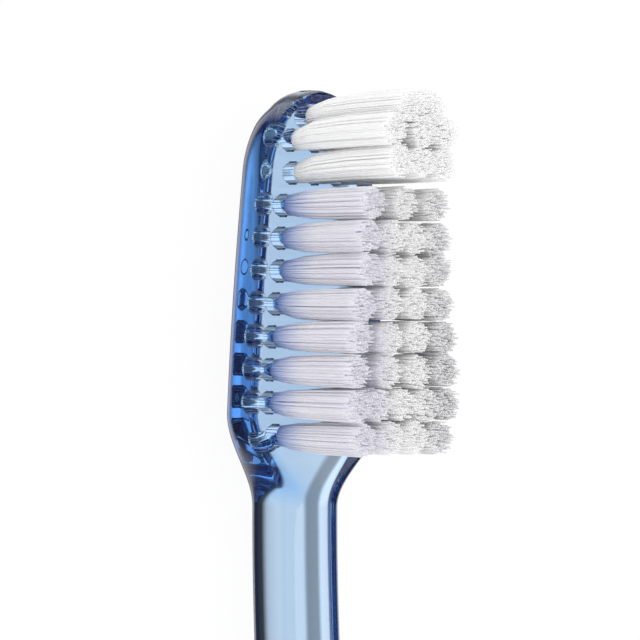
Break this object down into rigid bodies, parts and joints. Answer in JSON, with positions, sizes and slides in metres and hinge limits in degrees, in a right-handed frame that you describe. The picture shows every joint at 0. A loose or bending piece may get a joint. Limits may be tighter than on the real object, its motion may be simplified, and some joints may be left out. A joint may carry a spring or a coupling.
{
  "type": "manual toothbrush",
  "caption": "Manual toothbrush with a clear tinted handle, an egg-shaped head, and tufts of nylon bristles anchored in blind bores.",
  "frame": {"origin": "on the surface that the brush lies on, below the middle of its length and width", "axes": "+X along the handle towards the tip of the head, +Y across the brush, +Z the way that the bristles point"},
  "size_m": [0.19, 0.0138, 0.0208],
  "materials": {
    "clear_blue_plastic": "clear tinted moulding, polished",
    "white_nylon": "opaque white filament",
    "clear_nylon": "clear filament",
    "nickel_silver": "cut sheet metal"
  },
  "bodies": {
    "root": {"handle": "clear_blue_plastic", "anchors": "nickel_silver", "white_tuft_1_1": "white_nylon", "white_tuft_1_2": "white_nylon", "white_tuft_2_1": "white_nylon", "white_tuft_2_2": "white_nylon", "white_tuft_2_3": "white_nylon", "white_tuft_3_1": "white_nylon", "white_tuft_3_2": "white_nylon", "white_tuft_3_3": "white_nylon", "clear_tuft_4_1": "clear_nylon", "clear_tuft_4_2": "clear_nylon", "clear_tuft_4_3": "clear_nylon", "clear_tuft_5_1": "clear_nylon", "clear_tuft_5_2": "clear_nylon", "clear_tuft_5_3": "clear_nylon", "clear_tuft_5_4": "clear_nylon", "clear_tuft_6_1": "clear_nylon", "clear_tuft_6_2": "clear_nylon", "clear_tuft_6_3": "clear_nylon", "clear_tuft_6_4": "clear_nylon", "clear_tuft_7_1": "clear_nylon", "clear_tuft_7_2": "clear_nylon", "clear_tuft_7_3": "clear_nylon", "clear_tuft_7_4": "clear_nylon", "clear_tuft_8_1": "clear_nylon", "clear_tuft_8_2": "clear_nylon", "clear_tuft_8_3": "clear_nylon", "clear_tuft_8_4": "clear_nylon", "clear_tuft_9_1": "clear_nylon", "clear_tuft_9_2": "clear_nylon", "clear_tuft_9_3": "clear_nylon", "clear_tuft_9_4": "clear_nylon", "clear_tuft_10_1": "clear_nylon", "clear_tuft_10_2": "clear_nylon", "clear_tuft_10_3": "clear_nylon", "clear_tuft_10_4": "clear_nylon", "clear_tuft_10_5": "clear_nylon", "clear_tuft_11_1": "clear_nylon", "clear_tuft_11_2": "clear_nylon", "clear_tuft_11_3": "clear_nylon", "clear_tuft_11_4": "clear_nylon"}
  },
  "joints": []
}
